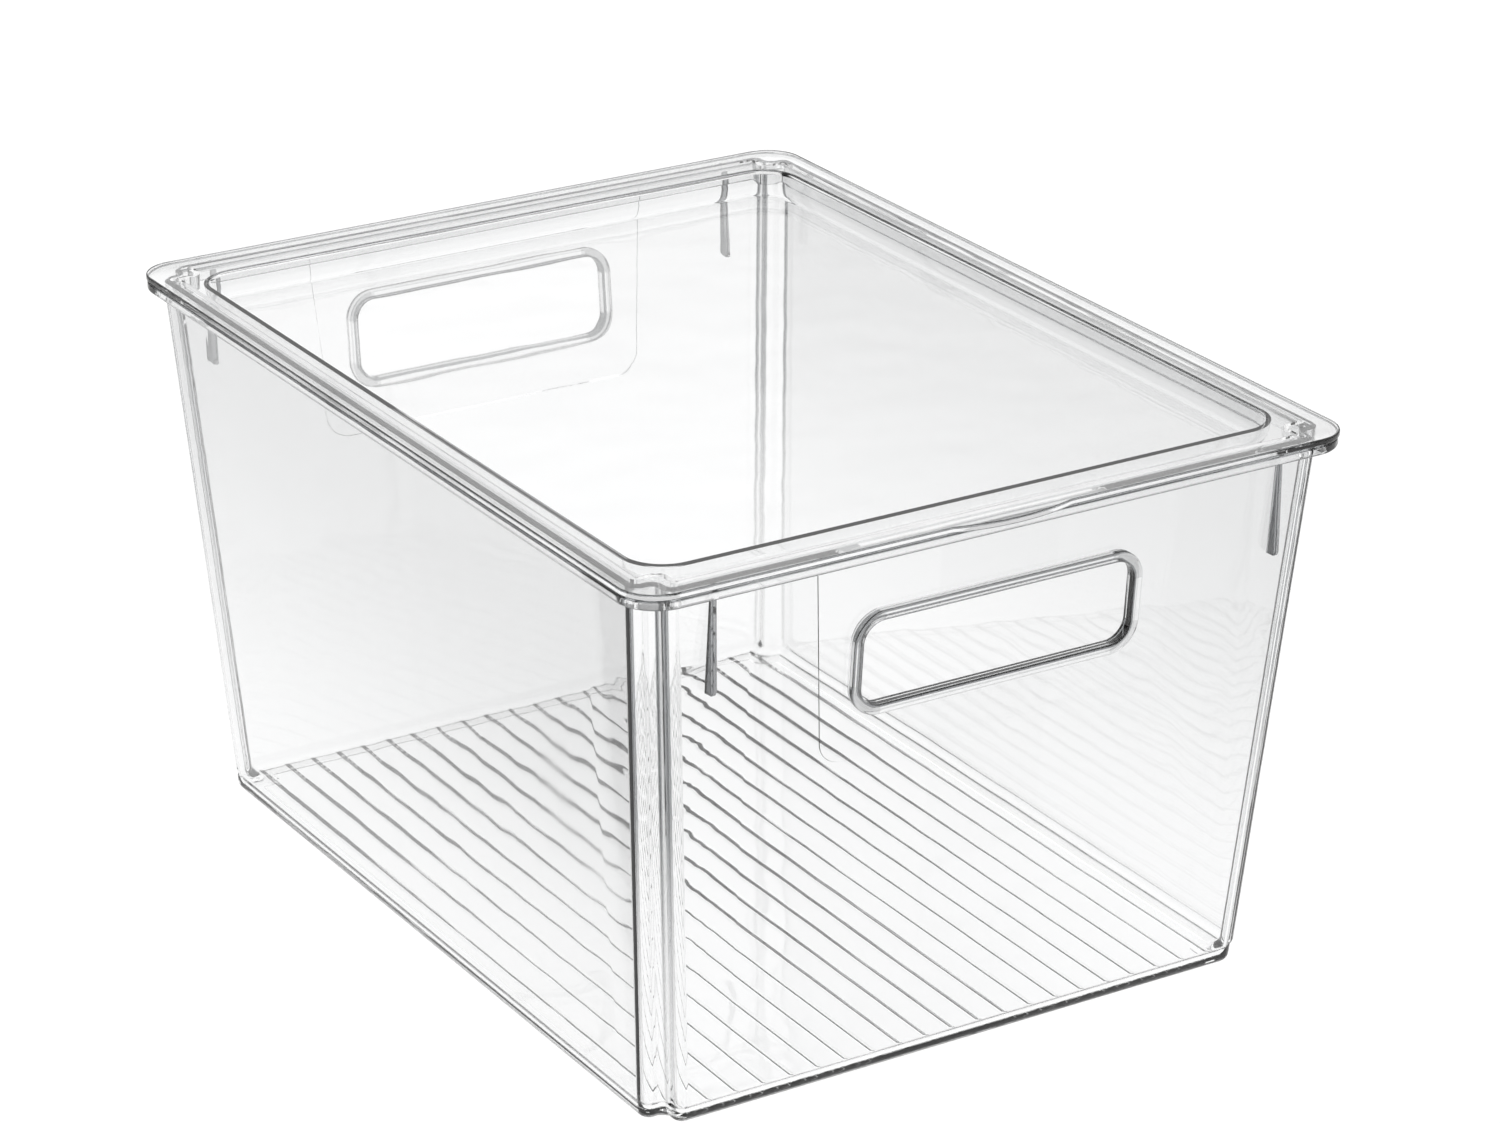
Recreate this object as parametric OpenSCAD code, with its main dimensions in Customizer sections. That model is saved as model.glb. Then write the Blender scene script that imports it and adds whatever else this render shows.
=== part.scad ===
// Clear storage bin with a lift-off lid.
// Both pieces are thin injection-moulded shells.  The bin tapers towards its foot and has
// stepped corners, two grip slots and a ribbed floor.  The lid hangs a skirt inside the rim
// and has a sunken tray that keeps the foot of a second bin in place.
// Millimetres, +Z up.  X is the width, Y the depth.  The origin is under the middle of the
// closed bin, pull tab included.

/* [Bin] */
// Width over the rim
bin_w = 241.3; // [239.6:0.1:260]
// Depth over the rim
bin_l = 317.5; // [317:0.1:340]
// Height of the bin without its lid
bin_h = 173; // [165:0.5:190]
// Width of the foot before its edge is rounded
foot_w = 210.8; // [200:0.1:212.5]
// Depth of the foot before its edge is rounded
foot_l = 278.4; // [268:0.1:279]
// Wall thickness
wall = 1.9; // [1.6:0.1:2.2]
// Floor thickness
floor_t = 2.2; // [2.2:0.1:3]
// Size of the square step at each corner
step = 6.9; // [6.5:0.1:7.5]
// Rounding of the lower outside edge
foot_r = 3; // [3:0.5:4]
// Rounding between floor and walls inside
floor_r = 4; // [3:0.5:5]
// Depth of the shallow hollow under the floor
under_cut = 0.5; // [0.3:0.1:0.6]

/* [Rim] */
// Thickness of the rim flange
rim_t = 3; // [2.5:0.1:4]
// How far the flange stands out from the wall
rim_out = 3.9; // [3.5:0.1:4.5]
// Corner radius of the flange
rim_r = 13; // [11:0.5:15]

/* [Grips] */
// Width of the grip slot
slot_w = 91.6; // [80:0.1:100]
// Height of the grip slot
slot_h = 26.6; // [24:0.1:30]
// Height of the slot's middle above the foot
slot_z = 136.8; // [130:0.1:142]
// Width of the raised collar around the slot
collar_w = 3.2; // [2.5:0.1:4]
// How far the collar stands out from the wall
collar_out = 2; // [1.5:0.1:2.5]

/* [Ribs] */
// Number of fine ribs on the floor
floor_ribs = 21; // [11:2:21]
// Distance from one floor rib to the next
rib_pitch = 9.33; // [9:0.01:9.5]
// Height of a floor rib
rib_h = 0.5; // [0.4:0.1:0.7]
// Distance from the middle to a nesting rib on the short wall
nest_x = 95.5; // [88:0.5:97]
// Length of a nesting rib below the flange
nest_len = 30; // [20:1:34]
// Thickness of a nesting rib
nest_t = 1.8; // [1.5:0.1:2.2]

/* [Lid] */
// Thickness of the lid's flange
lid_t = 2; // [1.8:0.1:2.4]
// Corner radius of the lid
lid_r = 12; // [10:0.5:14]
// Thickness of the lid's skirt and tray walls
lid_wall = 1.8; // [1.5:0.1:2]
// How far the skirt reaches into the bin
skirt_h = 5; // [4:0.5:6]
// Play between the skirt and the wall at the rim
skirt_play = 0.9; // [0.8:0.1:1.2]
// Ledge between the lid's edge and the tray on the long sides
ledge_x = 13.2; // [12.5:0.1:13.8]
// Ledge between the lid's edge and the tray on the short sides
ledge_y = 18.2; // [17.5:0.1:18.3]
// Depth of the tray
tray_d = 7.5; // [6:0.5:9]
// Corner radius of the tray
tray_r = 12; // [10:0.5:14]
// Width of the pull tab
tab_w = 40; // [30:1:50]
// How far the pull tab stands out
tab_out = 3; // [2:0.5:4]

/* [Hidden] */

// Half sizes of the wall's outside face at the foot and at the top
foot_x = foot_w / 2;
foot_y = foot_l / 2;
top_x = bin_w / 2 - rim_out;
top_y = bin_l / 2 - rim_out;
lean_x = (top_x - foot_x) / bin_h;
lean_y = (top_y - foot_y) / bin_h;
tilt = atan(lean_y);
// Radii of the stepped corner, outside face of the wall
step_r = 4;
step_in = 2;
// Rounding of the flange's edge, bevel of the mouth, and margin round the hollow underneath
rim_edge = 0.8;
mouth_edge = 0.5;
under_edge = 4.5;
// Corner radius of the grip slot
slot_r = 6.4;
// Rounding of a nesting rib's lower end, and how far the rib stands out past the wall's top
nest_r = 1.8;
nest_out = 1.1;
// Radius of the bar buried under each floor rib, and the room left at each of its ends
bar_r = 0.9;
bar_gap = 0.6;
// The lid sits on the rim
seat_z = bin_h;
lid_top = seat_z + lid_t;
skirt_x = top_x - wall - skirt_play;
skirt_y = top_y - wall - skirt_play;
skirt_step = 8;
// Radii of the skirt's stepped corner, outside face and then inside face
skirt_r = 2.5;
skirt_in = 2;
skirt_r2 = 0.7;
skirt_in2 = 3.8;
// How much thinner the skirt is at its lower end
skirt_draft = 0.15;
// Rounding of the lid's edge
lid_edge = 0.6;
// Slope of the tray's wall and rounding of its lower edge
tray_draft = 0.12;
tray_edge = 3;
// The pull tab makes the whole thing longer on one side
tab_shift = tab_out / 2;
// Points along an arc of a corner, along a rounded edge and along half the tab
arc_n = 4;
edge_n = 3;
tab_n = 5;
clear = "#eef2f4";
tint = 0.45;

// Points of an arc, ends included
function arc(x, y, r, a0, a1, n) =
    [for (i = [0 : n]) let (t = a0 + (a1 - a0) * i / n) [x + r * cos(t), y + r * sin(t)]];

// A list of points in the opposite order
function back(p) = [for (i = [len(p) - 1 : -1 : 0]) p[i]];

// Every outline is one corner carried round to four corners, anticlockwise, and then a run
// of points along the front side, straight or bowed out.  All outlines have as many points,
// so any two can be joined.
function four(q, b, out) = concat(
    q,
    [for (p = back(q)) [-p[0], p[1]]],
    [for (p = q) [-p[0], -p[1]]],
    front(b, out),
    [for (p = back(q)) [p[0], -p[1]]]);

function front(b, out) =
    [for (i = [-tab_n : tab_n]) let (x = i / tab_n * tab_w / 2)
        [x, -b - out * (1 - pow(i / tab_n, 2))]];

// Rectangle with round corners, half sizes a and b, with an optional tab on the front side
function round_rect(a, b, r, out = 0) =
    four(arc(a - r, b - r, r, 0, 90, 3 * arc_n + 2), b, out);

// Rectangle whose corners step in by s, half sizes a and b.  r rounds the outer edges of the
// step and q its inner edge
function step_rect(a, b, s, r, q) = four(concat(
    arc(a - r, b - s - r, r, 0, 90, arc_n),
    arc(a - s + q, b - s + q, q, 270, 180, arc_n),
    arc(a - s - r, b - r, r, 0, 90, arc_n)), b, 0);

// Outline of the tapered wall at height z, "in" mm inside its outside face
function wall_ring(z, in) = step_rect(
    foot_x + lean_x * z - in,
    foot_y + lean_y * z - in,
    step,
    max(0.6, step_r - in),
    step_in + min(in, wall));

// Angles along a quarter of a rounded edge
quarter = [0 : 90 / edge_n : 90];

// Flat rings of equal length, each [height, outline], joined into one closed solid.  Each end
// is a fan of triangles round the middle
module skin(rings) {
    n = len(rings[0][1]);
    last = len(rings) - 1;
    count = n * len(rings);
    points = concat(
        [for (k = rings) for (p = k[1]) [p[0], p[1], k[0]]],
        [[0, 0, rings[0][0]], [0, 0, rings[last][0]]]);
    sides = [for (k = [0 : last - 1]) for (i = [0 : n - 1]) let (j = (i + 1) % n)
        [k * n + i, (k + 1) * n + i, (k + 1) * n + j, k * n + j]];
    under = [for (i = [0 : n - 1]) [count, i, (i + 1) % n]];
    over = [for (i = [0 : n - 1]) [count + 1, last * n + (i + 1) % n, last * n + i]];
    polyhedron(points = points, faces = concat(under, sides, over), convexity = 8);
}

// Outline of a plate as wide and deep as the rim, o mm smaller all round
function plate_ring(o, r, out = 0) =
    round_rect(bin_w / 2 - o, bin_l / 2 - o, r - o, out);

// Outline of the skirt, o mm inside its outside face
function skirt_ring(o, r, q) = step_rect(skirt_x - o, skirt_y - o, skirt_step, r, q);

// Outline of the tray's drafted wall at height z, o mm inside the opening's edge
function tray_outline(z, o) =
    let (m = o + (lid_top - z) * tray_draft)
    round_rect(bin_w / 2 - ledge_x - m, bin_l / 2 - ledge_y - m, tray_r - m);

// Ring at angle t of the round edge of radius r that joins the tray's wall and its floor,
// more mm outside the tray's inner face
function tray_ring(t, more, z0, r) =
    let (z = z0 + r - r * cos(t)) [z, tray_outline(z, r - r * sin(t) - more)];

// Slot outline, "more" mm bigger all round
module slot_shape(more) {
    r = slot_r + more;
    for (x = [-1, 1], y = [-1, 1])
        translate([x * (slot_w / 2 + more - r), y * (slot_h / 2 + more - r)])
            circle(r = r, $fn = 48);
    square([slot_w + 2 * more, slot_h + 2 * more - 2 * r], center = true);
    square([slot_w + 2 * more - 2 * r, slot_h + 2 * more], center = true);
}

// Places its children on a short wall's outside face at the slot's middle, facing out
module on_short_wall(side) {
    rotate([0, 0, side > 0 ? 180 : 0])
        translate([0, -foot_y - lean_y * slot_z, slot_z])
            rotate([90 + tilt, 0, 0])
                children();
}

// Upright nesting rib, seen from the side: it hangs under the flange and ends round
module nest_rib(side, x) {
    low = bin_h - rim_t - nest_len;
    high = bin_h - rim_t / 2;
    out = top_y + nest_out;
    root = foot_y - wall / 2;
    shape = concat(
        [[root + lean_y * low, low]],
        arc(out - nest_r, low + nest_r, nest_r, -90, 0, 6),
        [[out, high], [root + lean_y * high, high]]);
    rotate([0, 0, side > 0 ? 0 : 180])
        translate([x - nest_t / 2, 0, 0])
            rotate([90, 0, 90])
                linear_extrude(nest_t)
                    polygon(shape);
}

// Fine ridges along the floor.  Each is the top of a buried round bar
module ridges() {
    len = foot_l - 2 * wall - 2 * bar_gap;
    for (i = [0 : floor_ribs - 1])
        translate([(i - (floor_ribs - 1) / 2) * rib_pitch, len / 2, floor_t + rib_h - bar_r])
            rotate([90, 0, 0])
                cylinder(h = len, r = bar_r, $fn = 24);
}

// Shell of the bin in one skin: up the outside, round the rim, down the inside to the floor
module bin_shell() {
    e = rim_edge;
    m = mouth_edge;
    low = bin_h - rim_t;
    hollow = foot_r + under_edge;
    skin(concat(
        [[under_cut, wall_ring(0, hollow + under_cut)], [0, wall_ring(0, hollow)]],
        [for (t = quarter) let (z = foot_r - foot_r * cos(t))
            [z, wall_ring(z, foot_r - foot_r * sin(t))]],
        [[low, wall_ring(low, 0)]],
        [for (t = quarter) [low + e - e * cos(t), plate_ring(e - e * sin(t), rim_r)]],
        [for (t = quarter) [bin_h - e + e * sin(t), plate_ring(e - e * cos(t), rim_r)]],
        [[bin_h, wall_ring(bin_h, wall - m)], [bin_h - m, wall_ring(bin_h - m, wall)]],
        [for (t = quarter) let (z = floor_t + floor_r - floor_r * sin(t))
            [z, wall_ring(z, wall + floor_r - floor_r * cos(t))]]));
}

// The bin: tapered stepped tub, rim, collars, nesting ribs, ribbed floor
module bin() {
    color(clear, tint)
    translate([0, tab_shift, 0]) {
        difference() {
            union() {
                bin_shell();
                for (side = [-1, 1]) {
                    on_short_wall(side)
                        translate([0, 0, -wall / 2])
                            linear_extrude(wall / 2 + collar_out)
                                slot_shape(collar_w);
                    for (x = [-nest_x, nest_x])
                        nest_rib(side, x);
                }
            }
            for (side = [-1, 1])
                on_short_wall(side)
                    translate([0, 0, -4 * wall])
                        linear_extrude(8 * wall)
                            slot_shape(0);
        }
        ridges();
    }
}

// The lid in one skin: up the tray's underside, out to the skirt, down and up the skirt,
// out under the flange, round its edge, back in over the top and down into the tray
module lid() {
    e = lid_edge;
    low = seat_z - skirt_h;
    color(clear, tint)
    translate([0, tab_shift, 0])
        skin(concat(
            [for (t = quarter)
                tray_ring(t, lid_wall, lid_top - tray_d - lid_wall, tray_edge + lid_wall)],
            [[seat_z, tray_outline(seat_z, -lid_wall)]],
            [[seat_z, skirt_ring(lid_wall + skirt_draft, skirt_r2, skirt_in2)]],
            [[low, skirt_ring(lid_wall, skirt_r2, skirt_in2)]],
            [[low, skirt_ring(skirt_draft, skirt_r, skirt_in)]],
            [[seat_z, skirt_ring(0, skirt_r, skirt_in)]],
            [for (t = quarter) [seat_z + e - e * cos(t), plate_ring(e - e * sin(t), lid_r, tab_out)]],
            [for (t = quarter) [lid_top - e + e * sin(t), plate_ring(e - e * cos(t), lid_r, tab_out)]],
            [for (t = quarter) [lid_top - e + e * cos(t), tray_outline(lid_top, e * sin(t) - e)]],
            [for (t = quarter) tray_ring(90 - t, 0, lid_top - tray_d, tray_edge)]));
}

bin();
lid();
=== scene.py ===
import math
import bpy
import bmesh
from mathutils import Matrix, Vector


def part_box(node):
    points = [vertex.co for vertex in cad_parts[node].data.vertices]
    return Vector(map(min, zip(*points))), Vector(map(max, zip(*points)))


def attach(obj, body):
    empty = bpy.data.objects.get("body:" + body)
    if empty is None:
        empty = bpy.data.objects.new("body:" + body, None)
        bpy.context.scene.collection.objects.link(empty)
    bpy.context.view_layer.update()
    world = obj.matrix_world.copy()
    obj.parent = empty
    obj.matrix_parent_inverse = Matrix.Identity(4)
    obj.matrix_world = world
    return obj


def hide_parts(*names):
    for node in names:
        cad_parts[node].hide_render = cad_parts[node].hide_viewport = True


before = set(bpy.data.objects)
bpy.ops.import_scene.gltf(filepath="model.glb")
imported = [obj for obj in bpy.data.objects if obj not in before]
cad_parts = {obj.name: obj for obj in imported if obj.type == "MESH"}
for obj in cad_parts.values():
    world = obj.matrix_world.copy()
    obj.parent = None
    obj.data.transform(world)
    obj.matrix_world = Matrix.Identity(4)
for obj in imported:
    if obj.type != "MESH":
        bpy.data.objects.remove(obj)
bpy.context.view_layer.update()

# ---------------------------------------------------------------------------
# Bin, the moulded shell.
# One shot of clear styrene from a two-part mould.  The walls lean out, every corner steps in,
# and the rim turns out into a flange.  The surface runs up the outside, over the rim and down
# the inside to the floor.
# ---------------------------------------------------------------------------
MM = 0.001
bin_lo, bin_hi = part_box("bin")
bin_mid_y = (bin_lo.y + bin_hi.y) / 2
rim_x = (bin_hi.x - bin_lo.x) / 2
rim_y = (bin_hi.y - bin_lo.y) / 2
rim_z = bin_hi.z

wall_t = 1.9 * MM
floor_t = 2.2 * MM
foot_x, foot_y = 105.4 * MM, 139.2 * MM
rim_out = 3.9 * MM
top_x, top_y = rim_x - rim_out, rim_y - rim_out
lean_x, lean_y = (top_x - foot_x) / rim_z, (top_y - foot_y) / rim_z
step_in, step_r, step_q, least_r = 6.9 * MM, 4.0 * MM, 2.0 * MM, 0.6 * MM
flange_t, flange_r = 3.0 * MM, 13.0 * MM
corner_n, round_n, mouth_n, tab_n = 8, 5, 3, 12
tab_w = 40.0 * MM


def arc(x, y, r, a0, a1, n):
    turn = [math.radians(a0 + (a1 - a0) * i / n) for i in range(n + 1)]
    return [(x + r * math.cos(t), y + r * math.sin(t)) for t in turn]


def all_corners(corner, b, bow):
    """One corner's points taken round the four corners, with a run of points on the front."""
    front = []
    for i in range(-tab_n, tab_n + 1):
        u = i / tab_n
        front.append((u * tab_w / 2, -b - bow * (1 - u * u)))
    return (corner
            + [(-x, y) for x, y in reversed(corner)]
            + [(-x, -y) for x, y in corner]
            + front
            + [(x, -y) for x, y in reversed(corner)])


def round_outline(a, b, r, bow=0.0):
    """Plain round corners, with as many points as the stepped ones."""
    return all_corners(arc(a - r, b - r, r, 0, 90, 3 * corner_n + 2), b, bow)


def step_outline(a, b, s, r, q):
    """Corners stepped in by s, with outer radius r and inner radius q."""
    corner = (arc(a - r, b - s - r, r, 0, 90, corner_n)
              + arc(a - s + q, b - s + q, q, 270, 180, corner_n)
              + arc(a - s - r, b - r, r, 0, 90, corner_n))
    return all_corners(corner, b, 0.0)


def wall_outline(z, inside):
    return step_outline(
        foot_x + lean_x * z - inside, foot_y + lean_y * z - inside, step_in,
        max(least_r, step_r - inside), step_q + min(inside, wall_t))


def quarter(n=round_n):
    return [math.radians(90.0 * i / n) for i in range(n + 1)]


def bridge(mesh, low, high):
    """Faces all the way round between two loops of equal length."""
    for i in range(len(low)):
        j = (i + 1) % len(low)
        mesh.faces.new((low[i], low[j], high[j], high[i]))


def keep_mesh(name, mesh):
    """Turns a finished mesh outwards and makes it an object."""
    bmesh.ops.recalc_face_normals(mesh, faces=mesh.faces)
    data = bpy.data.meshes.new(name)
    mesh.to_mesh(data)
    mesh.free()
    piece = bpy.data.objects.new(name, data)
    bpy.context.scene.collection.objects.link(piece)
    return piece


def skin_mesh(name, rings):
    """Flat outlines of equal length joined in order into one closed shell."""
    mesh = bmesh.new()
    loops = []
    for z, outline in rings:
        loops.append([mesh.verts.new((x, y + bin_mid_y, z)) for x, y in outline])
    for low, high in zip(loops, loops[1:]):
        bridge(mesh, low, high)
    mesh.faces.new(list(reversed(loops[0])))
    mesh.faces.new(loops[-1])
    return keep_mesh(name, mesh)


foot_r, floor_r, edge_r = 3.0 * MM, 4.0 * MM, 0.8 * MM
hollow_in, hollow_z, mouth_r = 7.5 * MM, 0.5 * MM, 0.5 * MM
flange_z = rim_z - flange_t
shell_rings = [(hollow_z, wall_outline(0, hollow_in + hollow_z)),
               (0.0, wall_outline(0, hollow_in))]
for t in quarter():
    z = foot_r - foot_r * math.cos(t)
    shell_rings.append((z, wall_outline(z, foot_r - foot_r * math.sin(t))))
shell_rings.append((flange_z, wall_outline(flange_z, 0)))
for t in quarter():
    o = edge_r - edge_r * math.sin(t)
    shell_rings.append((flange_z + edge_r - edge_r * math.cos(t),
                        round_outline(rim_x - o, rim_y - o, flange_r - o)))
for t in quarter():
    o = edge_r - edge_r * math.cos(t)
    shell_rings.append((rim_z - edge_r + edge_r * math.sin(t),
                        round_outline(rim_x - o, rim_y - o, flange_r - o)))
for t in quarter(mouth_n):
    o = mouth_r * (1 - math.sin(t))
    z = rim_z - mouth_r * (1 - math.cos(t))
    shell_rings.append((z, wall_outline(z, wall_t - o)))
for t in quarter():
    z = floor_t + floor_r - floor_r * math.sin(t)
    shell_rings.append((z, wall_outline(z, wall_t + floor_r - floor_r * math.cos(t))))
shell = skin_mesh("bin_shell", shell_rings)

# ---------------------------------------------------------------------------
# Grip collars.
# A raised, rounded frame round each finger slot, moulded with the short walls.  The faint
# panel round it is the mark left by the mould's sliding insert.
# ---------------------------------------------------------------------------
slot_w, slot_h, slot_z, slot_r = 91.6 * MM, 26.6 * MM, 136.8 * MM, 6.4 * MM
collar_w, collar_out, collar_in, collar_edge = 3.2 * MM, 2.0 * MM, 0.2 * MM, 0.7 * MM
slot_n, collar_n = 12, 4
lean = math.atan(lean_y)


def on_short_wall(side):
    """Local X runs along the wall, local Y up it and local Z out of it."""
    turn = Matrix.Rotation(math.pi if side > 0 else 0.0, 4, "Z")
    move = Matrix.Translation((0, -foot_y - lean_y * slot_z, slot_z))
    tip = Matrix.Rotation(math.pi / 2 + lean, 4, "X")
    return Matrix.Translation((0, bin_mid_y, 0)) @ turn @ move @ tip


def slot_outline(more):
    r = slot_r + more
    a, b = slot_w / 2 + more, slot_h / 2 + more
    corner = arc(a - r, b - r, r, 0, 90, slot_n)
    return (corner + [(-x, y) for x, y in reversed(corner)]
            + [(-x, -y) for x, y in corner] + [(x, -y) for x, y in reversed(corner)])


def loop_mesh(name, section, closed, place):
    """Slot outlines at (outset, depth) pairs, joined; closed makes a frame, else a plug."""
    mesh = bmesh.new()
    loops = [[mesh.verts.new(place @ Vector((x, y, d))) for x, y in slot_outline(o)]
             for o, d in section]
    pairs = list(zip(loops, loops[1:])) + ([(loops[-1], loops[0])] if closed else [])
    for low, high in pairs:
        bridge(mesh, low, high)
    if not closed:
        mesh.faces.new(list(reversed(loops[0])))
        mesh.faces.new(loops[-1])
    return keep_mesh(name, mesh)


def combine(target, tool, how):
    """Joins the tool to the target, or cuts it away, and drops the tool."""
    cut = target.modifiers.new(how, "BOOLEAN")
    cut.operation, cut.solver, cut.object = how, "EXACT", tool
    settle(target)
    bpy.data.objects.remove(tool)


def settle(piece):
    """Turns a piece's modifiers into plain mesh."""
    graph = bpy.context.evaluated_depsgraph_get()
    made = bpy.data.meshes.new_from_object(piece.evaluated_get(graph))
    piece.modifiers.clear()
    piece.data = made


far_face = collar_w - collar_edge
outer_face = collar_out - collar_edge
inner_face = -wall_t - collar_in + collar_edge
collar_section = []
for o, d, start in ((collar_edge, outer_face, 90), (collar_edge, inner_face, 180),
                    (far_face, inner_face, 270), (far_face, outer_face, 0)):
    collar_section += arc(o, d, collar_edge, start, start + 90, collar_n)
panel_top, panel_foot, panel_low = 62.0 * MM, 58.0 * MM, 107.0 * MM
panel_r, panel_out, panel_slope, panel_bury = 8.0 * MM, 0.2 * MM, 0.25 * MM, 1.0 * MM
slot_cut, slot_reach = 1.6 * MM, 8.0 * MM


def insert_panel(place):
    """The insert's mark: a thin plate with sloped sides, its top buried in the flange."""
    low, high = panel_low - slot_z, flange_z - slot_z + panel_bury
    mesh = bmesh.new()
    loops = []
    # The slope starts just under the wall's face, so no edge lies in that face
    for depth, less in ((-wall_t / 2, 0.0), (-panel_out / 2, 0.0), (panel_out, panel_slope)):
        right = arc(panel_foot - panel_r, low + panel_r, panel_r - less, -90, 0, corner_n)
        right.append((panel_top - less, high))
        outline = right + [(-x, y) for x, y in reversed(right)]
        loops.append([mesh.verts.new(place @ Vector((x, y, depth))) for x, y in outline])
    for low_loop, high_loop in zip(loops, loops[1:]):
        bridge(mesh, low_loop, high_loop)
    mesh.faces.new(loops[0])
    mesh.faces.new(loops[-1])
    return keep_mesh("insert_panel", mesh)


for side in (-1, 1):
    place = on_short_wall(side)
    combine(shell, insert_panel(place), "UNION")
    plug = loop_mesh("slot_plug", [(slot_cut, -slot_reach), (slot_cut, slot_reach)], False, place)
    combine(shell, plug, "DIFFERENCE")
    combine(shell, loop_mesh("collar", collar_section, True, place), "UNION")

# ---------------------------------------------------------------------------
# Nesting ribs.
# Two thin blades hang under the flange on each short wall, so stacked empty bins don't jam.
# They are moulded with the wall, in the same clear plastic, with their outer edges eased.
# ---------------------------------------------------------------------------
nest_x, nest_t, nest_len, nest_r = 95.5 * MM, 1.8 * MM, 30.0 * MM, 1.8 * MM
nest_out, nest_bevel, nest_clear, tiny = 1.1 * MM, 0.45 * MM, 0.3 * MM, 1e-6


def nest_rib(side, x):
    low, high = flange_z - nest_len, rim_z - flange_t / 2
    out = top_y + nest_out
    side_view = ([(foot_y - wall_t / 2 + lean_y * low, low)]
                 + arc(out - nest_r, low + nest_r, nest_r, -90, 0, corner_n)
                 + [(out, high), (foot_y - wall_t / 2 + lean_y * high, high)])
    mesh = bmesh.new()
    ends = [[mesh.verts.new((x + s * nest_t / 2, bin_mid_y + side * y, z)) for y, z in side_view]
            for s in (-1, 1)]
    bridge(mesh, ends[0], ends[1])
    mesh.faces.new(ends[0])
    mesh.faces.new(ends[1])
    bmesh.ops.recalc_face_normals(mesh, faces=mesh.faces)
    face_y = foot_y + lean_y * low + nest_clear
    long_edges = [e for e in mesh.edges if abs(e.verts[0].co.x - e.verts[1].co.x) < tiny
                  and min(abs(v.co.y - bin_mid_y) for v in e.verts) > face_y]
    bmesh.ops.bevel(mesh, geom=long_edges, offset=nest_bevel, segments=2, affect="EDGES")
    return keep_mesh("nest_rib", mesh)


for side in (-1, 1):
    for x in (-nest_x, nest_x):
        combine(shell, nest_rib(side, x), "UNION")

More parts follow.
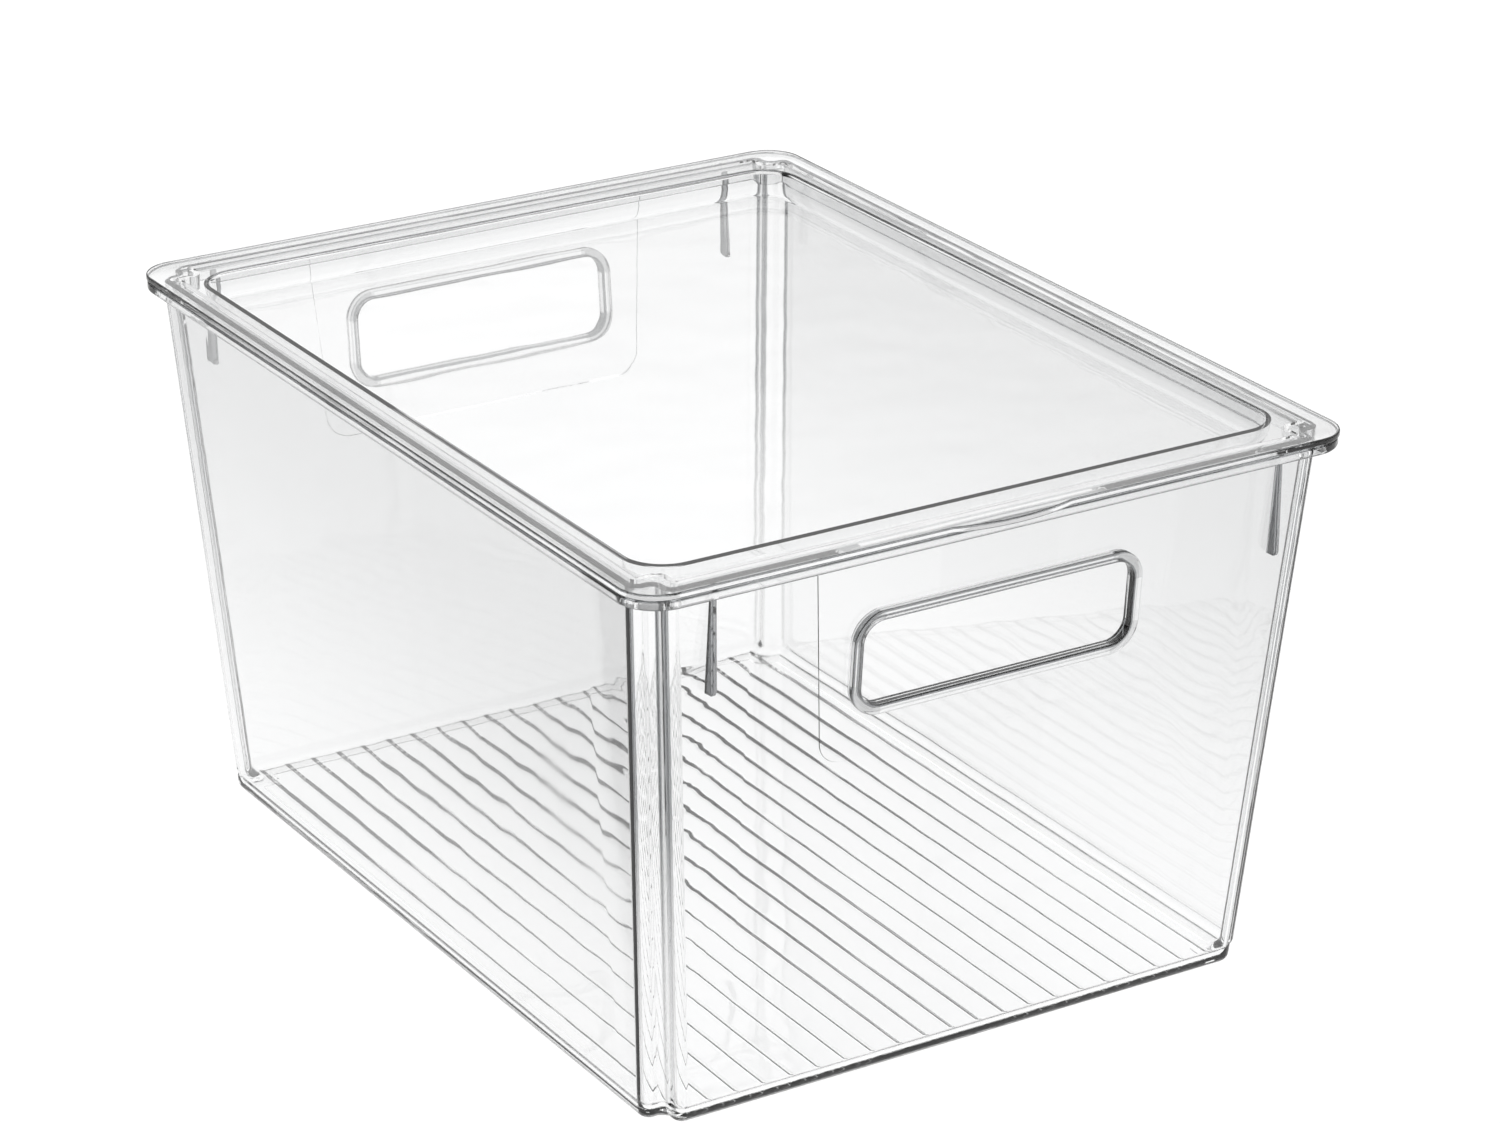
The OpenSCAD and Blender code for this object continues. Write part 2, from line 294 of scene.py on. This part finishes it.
# ---------------------------------------------------------------------------
# Clear plastic.
# The finish both mouldings share: colourless and polished, with light handling marks.  Painted
# shade greys the bends, rims and walls, and the surface waves where the melt met in the corners.
# ---------------------------------------------------------------------------
def moulded_marks_and_painted_shade():
    group = bpy.data.node_groups.new("moulded_marks_and_painted_shade", "ShaderNodeTree")
    # The second colour is painted shade, mixed in per face to stand in for dark refraction lines
    wanted = (("Clear", "NodeSocketColor", (0.992, 0.994, 0.995, 1)),
              ("Painted shade", "NodeSocketColor", (0.13, 0.135, 0.14, 1)),
              ("Shade rise height", "NodeSocketFloat", 0.17), ("Gloss", "NodeSocketFloat", 0.015),
              ("Wear", "NodeSocketFloat", 0.03), ("Flow size", "NodeSocketFloat", 30.0),
              ("Ripple", "NodeSocketFloat", 0.6), ("Ripple from X", "NodeSocketFloat", 0.082),
              ("Ripple from Y", "NodeSocketFloat", 0.118), ("Build-up", "NodeSocketFloat", 2.8))
    for title, kind, value in wanted:
        socket = group.interface.new_socket(title, in_out="INPUT", socket_type=kind)
        socket.default_value = value
    for title, kind in (("Color", "NodeSocketColor"), ("Roughness", "NodeSocketFloat"),
                        ("Height", "NodeSocketFloat")):
        group.interface.new_socket(title, in_out="OUTPUT", socket_type=kind)
    node, link = group.nodes.new, group.links.new
    given, out = node("NodeGroupInput"), node("NodeGroupOutput")
    place, split = node("ShaderNodeTexCoord"), node("ShaderNodeSeparateXYZ")
    link(place.outputs["Object"], split.inputs["Vector"])

    def maths(how, a, b=None, c=None):
        step = node("ShaderNodeMath")
        step.operation = how
        for socket, value in zip(step.inputs, (a, b, c)):
            if isinstance(value, (int, float)):
                socket.default_value = value
            elif value is not None:
                link(value, socket)
        return step.outputs[0]

    def ramp(value, low, high, to_low=0.0, to_high=1.0):
        step = node("ShaderNodeMapRange")
        step.interpolation_type = "SMOOTHSTEP"
        for title, given_value in (("From Min", low), ("From Max", high)):
            if isinstance(given_value, (int, float)):
                step.inputs[title].default_value = given_value
            else:
                link(given_value, step.inputs[title])
        step.inputs["To Min"].default_value = to_low
        step.inputs["To Max"].default_value = to_high
        link(value, step.inputs["Value"])
        return step.outputs["Result"]

    # Painted shade: each face's share from the depth attribute, a little more towards the rim
    low_share, high_share = 0.35, 1.6
    depth = node("ShaderNodeAttribute")
    depth.attribute_name = "depth"
    rise = maths("DIVIDE", split.outputs["Z"], given.outputs["Shade rise height"])
    amount = maths("MULTIPLY", depth.outputs["Fac"], ramp(rise, 0.0, 1.0, low_share, high_share))
    tone = node("ShaderNodeMix")
    tone.data_type = "RGBA"
    link(amount, tone.inputs["Factor"])
    link(given.outputs["Clear"], tone.inputs["A"])
    link(given.outputs["Painted shade"], tone.inputs["B"])
    link(tone.outputs["Result"], out.inputs["Color"])

    # Gloss: polished, with soft smears from handling
    smear_from, smear_to = 0.5, 0.8
    smear = node("ShaderNodeTexNoise")
    smear.inputs["Scale"].default_value = 18.0
    smear.inputs["Detail"].default_value = 6.0
    link(place.outputs["Object"], smear.inputs["Vector"])
    link(maths("MULTIPLY_ADD", ramp(smear.outputs["Fac"], smear_from, smear_to),
               given.outputs["Wear"], given.outputs["Gloss"]), out.inputs["Roughness"])

    # Height: slow flow waves everywhere; by the corners the wall thickens and is rippled
    flow = node("ShaderNodeTexNoise")
    flow.inputs["Detail"].default_value = 1.0
    link(given.outputs["Flow size"], flow.inputs["Scale"])
    link(place.outputs["Object"], flow.inputs["Vector"])
    stretch = node("ShaderNodeMapping")
    stretch.inputs["Scale"].default_value = (38.0, 38.0, 120.0)
    link(place.outputs["Object"], stretch.inputs["Vector"])
    bands = node("ShaderNodeTexNoise")
    bands.inputs["Scale"].default_value = 1.0
    bands.inputs["Detail"].default_value = 0.6
    link(stretch.outputs["Vector"], bands.inputs["Vector"])
    by_x = ramp(maths("ABSOLUTE", split.outputs["X"]), given.outputs["Ripple from X"], rim_x)
    by_y = ramp(maths("ABSOLUTE", split.outputs["Y"]), given.outputs["Ripple from Y"], rim_y)
    by_corner = maths("MULTIPLY", maths("MULTIPLY", by_x, by_y), given.outputs["Ripple"])
    wave = maths("ADD", bands.outputs["Fac"], given.outputs["Build-up"])
    link(maths("MULTIPLY_ADD", wave, by_corner, flow.outputs["Fac"]), out.inputs["Height"])
    return group


marks = moulded_marks_and_painted_shade()


def clear_plastic(name, ripple):
    finish = bpy.data.materials.new(name)
    finish.use_nodes = True
    tree = finish.node_tree
    shader = tree.nodes["Principled BSDF"]
    shader.inputs["Transmission Weight"].default_value = 1.0
    shader.inputs["IOR"].default_value = 1.55
    use = tree.nodes.new("ShaderNodeGroup")
    use.node_tree = marks
    use.inputs["Ripple"].default_value = ripple
    tree.links.new(use.outputs["Color"], shader.inputs["Base Color"])
    tree.links.new(use.outputs["Roughness"], shader.inputs["Roughness"])
    bump = tree.nodes.new("ShaderNodeBump")
    bump.inputs["Strength"].default_value = 1.0
    bump.inputs["Distance"].default_value = 0.2 * MM
    tree.links.new(use.outputs["Height"], bump.inputs["Height"])
    tree.links.new(bump.outputs["Normal"], shader.inputs["Normal"])
    return finish


bin_plastic = clear_plastic("clear_bin_plastic", 2.6)

# ---------------------------------------------------------------------------
# Floor ribs.
# Twenty-one fine ridges on the floor, moulded with it, keep food off the bottom.  Each is
# the top of a round bar sunk into the floor.
# ---------------------------------------------------------------------------
def ridge_tree():
    tree = bpy.data.node_groups.new("floor_ribs", "GeometryNodeTree")
    face = tree.interface
    face.new_socket("Shell", in_out="INPUT", socket_type="NodeSocketGeometry")
    face.new_socket("Count", in_out="INPUT", socket_type="NodeSocketInt")
    for title in ("Pitch", "Length", "Radius", "Height", "Middle"):
        face.new_socket(title, in_out="INPUT", socket_type="NodeSocketFloat")
    face.new_socket("Plastic", in_out="INPUT", socket_type="NodeSocketMaterial")
    face.new_socket("Shell", in_out="OUTPUT", socket_type="NodeSocketGeometry")
    node, link = tree.nodes.new, tree.links.new
    given, out = node("NodeGroupInput"), node("NodeGroupOutput")

    def maths(how, a, b):
        step = node("ShaderNodeMath")
        step.operation = how
        for socket, value in zip(step.inputs, (a, b)):
            if isinstance(value, (int, float)):
                socket.default_value = value
            else:
                link(value, socket)
        return step.outputs[0]

    def vector(x, y, z):
        made = node("ShaderNodeCombineXYZ")
        for socket, value in zip(made.inputs, (x, y, z)):
            if isinstance(value, (int, float)):
                socket.default_value = value
            else:
                link(value, socket)
        return made.outputs[0]

    half = maths("MULTIPLY", given.outputs["Length"], 0.5)
    bar = node("GeometryNodeCurvePrimitiveLine")
    link(vector(0, maths("MULTIPLY", half, -1.0), 0), bar.inputs["Start"])
    link(vector(0, half, 0), bar.inputs["End"])
    ring = node("GeometryNodeCurvePrimitiveCircle")
    ring.inputs["Resolution"].default_value = 32
    link(given.outputs["Radius"], ring.inputs["Radius"])
    solid = node("GeometryNodeCurveToMesh")
    link(bar.outputs["Curve"], solid.inputs["Curve"])
    link(ring.outputs["Curve"], solid.inputs["Profile Curve"])
    solid.inputs["Fill Caps"].default_value = True
    row = node("GeometryNodeMeshLine")
    link(given.outputs["Count"], row.inputs["Count"])
    span = maths("MULTIPLY", maths("SUBTRACT", given.outputs["Count"], 1.0), given.outputs["Pitch"])
    first = vector(maths("MULTIPLY", span, -0.5), given.outputs["Middle"], given.outputs["Height"])
    link(first, row.inputs["Start Location"])
    link(vector(given.outputs["Pitch"], 0, 0), row.inputs["Offset"])
    copies = node("GeometryNodeInstanceOnPoints")
    link(row.outputs["Mesh"], copies.inputs["Points"])
    link(solid.outputs["Mesh"], copies.inputs["Instance"])
    union = node("GeometryNodeMeshBoolean")
    union.operation = "UNION"
    union.solver = "EXACT"
    link(given.outputs["Shell"], union.inputs["Mesh 2"])
    loose = node("GeometryNodeRealizeInstances")
    link(copies.outputs["Instances"], loose.inputs["Geometry"])
    link(loose.outputs["Geometry"], union.inputs["Mesh 2"])
    real = node("GeometryNodeRealizeInstances")
    link(union.outputs["Mesh"], real.inputs["Geometry"])
    dress = node("GeometryNodeSetMaterial")
    link(real.outputs["Geometry"], dress.inputs["Geometry"])
    link(given.outputs["Plastic"], dress.inputs["Material"])
    link(dress.outputs["Geometry"], out.inputs["Shell"])
    return tree


rib_r, rib_h, rib_gap = 0.9 * MM, 0.5 * MM, 0.6 * MM
ribs = shell.modifiers.new("floor_ribs", "NODES")
ribs.node_group = ridge_tree()
rib_sizes = {"Count": 21, "Pitch": 9.33 * MM, "Radius": rib_r, "Middle": bin_mid_y,
             "Length": 2 * (foot_y - wall_t - rib_gap),
             "Height": floor_t + rib_h - rib_r, "Plastic": bin_plastic}
for item in ribs.node_group.interface.items_tree:
    if item.item_type == "SOCKET" and item.in_out == "INPUT" and item.name in rib_sizes:
        ribs[item.identifier] = rib_sizes[item.name]
settle(shell)


def finish_surface(piece, shade_share_of):
    """Smooths the rounds, keeps real edges sharp, and notes each face's share of painted shade."""
    data = piece.data
    mesh = bmesh.new()
    mesh.from_mesh(data)
    bmesh.ops.remove_doubles(mesh, verts=mesh.verts, dist=tiny)
    bmesh.ops.dissolve_degenerate(mesh, edges=mesh.edges, dist=tiny)
    # The rib union can drop a sliver where a bevel meets the flange: close it again
    open_edges = [edge for edge in mesh.edges if edge.is_boundary]
    if open_edges:
        bmesh.ops.holes_fill(mesh, edges=open_edges, sides=4)
        bmesh.ops.recalc_face_normals(mesh, faces=mesh.faces)
    sharp = math.radians(38)
    for edge in mesh.edges:
        edge.smooth = len(edge.link_faces) != 2 or edge.calc_face_angle(0) < sharp
    shade_shares = []
    for face in mesh.faces:
        face.smooth = True
        width = face.calc_area() / max(e.calc_length() for e in face.edges)
        shade_shares.append(shade_share_of(face.calc_center_median(), face.normal, width))
    mesh.to_mesh(data)
    mesh.free()
    # The depth attribute holds each face's share of painted shade
    data.attributes.new("depth", "FLOAT", "FACE")
    data.attributes["depth"].data.foreach_set("value", shade_shares)
    weight = piece.modifiers.new("flat_faces_lead", "WEIGHTED_NORMAL")
    weight.keep_sharp = True
    weight.weight = 100
    settle(piece)


def past_slot(at):
    """Distance outside the slot's rounded outline, seen straight on."""
    qx = abs(at.x) - slot_w / 2 + slot_r
    qz = abs(at.z - slot_z) - slot_h / 2 + slot_r
    return math.hypot(max(qx, 0), max(qz, 0)) + min(max(qx, qz), 0) - slot_r


# A face narrower than thin_face is a bend; a line_face is the slope round the insert panel
thin_face, line_face, wall_band, margin = 1.3 * MM, 0.4 * MM, 4.0 * MM, 1.0 * MM
rim_band, flange_band, collar_band, nest_proud = 0.6 * MM, 0.1 * MM, 0.8 * MM, 0.2 * MM
# Limits on a face's normal
square_on, sideways, not_flat, facing_down = 0.98, 0.86, 0.8, -0.3
# Shares of painted shade, standing in for dark refraction lines; long walls get more
rim_shade, flange_shade, bend_shade, nest_shade = 0.8, 0.08, 0.85, 0.9
collar_shade, outline_shade, foot_shade, floor_shade = 0.3, 1.0, 0.12, 0.02
flat_shade, long_wall_shade, short_wall_shade = 0.03, 0.19, 0.055


def bin_shade_share(at, normal, width):
    """Share of painted shade on a face of the bin: rims and bends most, flat walls least."""
    proud = abs(at.y - bin_mid_y) - (foot_y + lean_y * at.z)
    on_short_side = abs(proud) < wall_band
    bent = width < thin_face
    rounded = bent and abs(normal.z) < square_on
    if at.z > flange_z - flange_band:
        if not rounded:
            return 0.0
        return rim_shade if normal.z < facing_down or at.z > rim_z - rim_band else flange_shade
    on_rib = abs(abs(at.x) - nest_x) < nest_t and proud > nest_proud
    if on_rib and at.z > flange_z - nest_len - margin:
        return nest_shade
    past = past_slot(at)
    if on_short_side and past < collar_w + collar_band:
        if not bent:
            return flat_shade
        return bend_shade if past < margin else collar_shade
    in_panel = at.z > panel_low - margin and abs(at.x) < panel_top + margin
    if on_short_side and in_panel and width < line_face:
        return outline_shade
    if at.z < foot_r + floor_r:
        return foot_shade if rounded and abs(normal.z) < not_flat else floor_shade
    # Painted shade: the long walls are shaded darker than the short ones
    if abs(normal.x) > square_on:
        return long_wall_shade
    if abs(normal.y) > square_on:
        return short_wall_shade
    return bend_shade if bent and abs(normal.x) > sideways else flat_shade


finish_surface(shell, bin_shade_share)
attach(shell, "bin")
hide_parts("bin")

# ---------------------------------------------------------------------------
# Lid.
# One shot of the same plastic: a flange with a bowed pull tab, a skirt that drops inside the
# rim, and a sunken tray.  It only rests on the rim, with a film of air between the two faces.
# ---------------------------------------------------------------------------
lid_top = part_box("lid")[1].z
lid_t, lid_r, lid_wall = 2.0 * MM, 12.0 * MM, 1.8 * MM
air_film = 0.06 * MM
seat_z = lid_top - lid_t + air_film
skirt_h, skirt_play, skirt_step, skirt_draft = 5.0 * MM, 0.9 * MM, 8.0 * MM, 0.15 * MM
tab_out = 3.0 * MM
ledge_x, ledge_y = 13.2 * MM, 18.2 * MM
tray_d, tray_r, tray_edge, tray_draft = 7.5 * MM, 12.0 * MM, 3.0 * MM, 0.12
lid_edge, lip_line = 0.6 * MM, 0.35 * MM
# The last two are shares of painted shade on the lid's lip and other faces
lip_lean, lip_shade, lid_shade = 0.2, 0.2, 0.06


def skirt_outline(inside, r, q):
    o = rim_out + wall_t + skirt_play + inside
    return step_outline(rim_x - o, rim_y - o, skirt_step, r, q)


def tray_outline(z, inside):
    o = inside + (lid_top - z) * tray_draft
    return round_outline(rim_x - ledge_x - o, rim_y - ledge_y - o, tray_r - o)


def tray_bend(t, more, z0, r):
    z = z0 + r - r * math.cos(t)
    return z, tray_outline(z, r - r * math.sin(t) - more)


def lid_outline(o):
    return round_outline(rim_x - o, rim_y - o, lid_r - o, tab_out)


skirt_r, skirt_q = 2.5 * MM, 2.0 * MM
inner_r, inner_q = 0.7 * MM, 3.8 * MM
low_z = seat_z - skirt_h
lid_rings = []
for t in quarter():
    lid_rings.append(tray_bend(t, lid_wall, lid_top - tray_d - lid_wall, tray_edge + lid_wall))
lid_rings += [(seat_z, tray_outline(seat_z, -lid_wall)),
              (seat_z, skirt_outline(lid_wall + skirt_draft, inner_r, inner_q)),
              (low_z, skirt_outline(lid_wall, inner_r, inner_q)),
              (low_z, skirt_outline(skirt_draft, skirt_r, skirt_q)),
              (seat_z, skirt_outline(0.0, skirt_r, skirt_q))]
for t in quarter():
    z = seat_z + lid_edge * (1 - math.cos(t))
    lid_rings.append((z, lid_outline(lid_edge * (1 - math.sin(t)))))
for t in quarter():
    z = lid_top - lid_edge * (1 - math.sin(t))
    lid_rings.append((z, lid_outline(lid_edge * (1 - math.cos(t)))))
for t in quarter():
    z = lid_top - lid_edge * (1 - math.cos(t))
    lid_rings.append((z, tray_outline(lid_top, lid_edge * (math.sin(t) - 1))))
for t in reversed(quarter()):
    lid_rings.append(tray_bend(t, 0.0, lid_top - tray_d, tray_edge))
lid = skin_mesh("lid_shell", lid_rings)
lid_plastic = clear_plastic("clear_lid_plastic", 0.0)
lid.data.materials.append(lid_plastic)


def lid_shade_share(at, normal, width):
    """Share of painted shade on a face of the lid: its rounded edges most."""
    if at.z > seat_z and width < thin_face and lip_lean < abs(normal.z) < square_on:
        return rim_shade if normal.z < 0 or at.z > lid_top - lip_line else lip_shade
    return 0.0 if abs(normal.z) > square_on else lid_shade


finish_surface(lid, lid_shade_share)
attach(lid, "lid")
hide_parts("lid")

# ---------------------------------------------------------------------------
# Studio.
# A pale floor that glows softly like a light table, a sky that pales upwards, and one wide
# soft lamp above and behind.
# ---------------------------------------------------------------------------
floor_mesh = bmesh.new()
bmesh.ops.create_grid(floor_mesh, x_segments=4, y_segments=4, size=6.0)
floor_data = bpy.data.meshes.new("studio_floor")
floor_mesh.to_mesh(floor_data)
floor_mesh.free()
studio_floor = bpy.data.objects.new("studio_floor", floor_data)
studio_floor.location = (0, 0, -0.2 * MM)
bpy.context.scene.collection.objects.link(studio_floor)
pale = bpy.data.materials.new("pale_floor")
pale.use_nodes = True
pale_shader = pale.node_tree.nodes["Principled BSDF"]
pale_shader.inputs["Base Color"].default_value = (0.1, 0.1, 0.1, 1)
pale_shader.inputs["Roughness"].default_value = 0.9
pale_shader.inputs["Specular IOR Level"].default_value = 0.0
pale_shader.inputs["Emission Color"].default_value = (1, 1, 1, 1)
pale_shader.inputs["Emission Strength"].default_value = 0.98
floor_data.materials.append(pale)

world = bpy.data.worlds.new("studio_sky")
bpy.context.scene.world = world
world.use_nodes = True
sky = world.node_tree
backdrop = sky.nodes["Background"]
where = sky.nodes.new("ShaderNodeTexCoord")
split = sky.nodes.new("ShaderNodeSeparateXYZ")
sky.links.new(where.outputs["Generated"], split.inputs["Vector"])
ramp = sky.nodes.new("ShaderNodeValToRGB")
ramp.color_ramp.elements[0].position = 0.0
ramp.color_ramp.elements[0].color = (0.1, 0.1, 0.1, 1)
ramp.color_ramp.elements[1].position = 0.42
ramp.color_ramp.elements[1].color = (1, 1, 1, 1)
sky.links.new(split.outputs["Z"], ramp.inputs["Fac"])
sky.links.new(ramp.outputs["Color"], backdrop.inputs["Color"])
backdrop.inputs["Strength"].default_value = 1.0

lamp_data = bpy.data.lights.new("soft_lamp", "AREA")
lamp_data.shape = "SQUARE"
lamp_data.size = 2.5
lamp_data.energy = 12.0
lamp = bpy.data.objects.new("soft_lamp", lamp_data)
lamp.location = (0.8, 1.2, 2.2)
lamp.rotation_euler = (-lamp.location).to_track_quat("-Z", "Y").to_euler()
bpy.context.scene.collection.objects.link(lamp)

scene = bpy.context.scene
scene.view_settings.view_transform = "Standard"
scene.cycles.max_bounces = 24
scene.cycles.transmission_bounces = 24
scene.cycles.glossy_bounces = 8

# ---------------------------------------------------------------------------
# Camera.
# It stands about a metre and a half away and looks down through a long lens at the corner
# between the bin's front and left walls.
# ---------------------------------------------------------------------------
camera_data = bpy.data.cameras.new("camera")
camera = bpy.data.objects.new("camera", camera_data)
scene.collection.objects.link(camera)
azimuth, elevation = math.radians(-31.55), math.radians(22.64)
level = math.cos(elevation)
back = Vector((math.sin(azimuth) * level, -math.cos(azimuth) * level, math.sin(elevation)))
camera.location = (-0.7253, -1.1984, 0.6888)
camera.rotation_mode = "QUATERNION"
camera.rotation_quaternion = (-back).to_track_quat("-Z", "Y")
camera_data.sensor_width = 36.0
camera_data.lens = 117.9
camera_data.clip_start = 0.01
scene.camera = camera
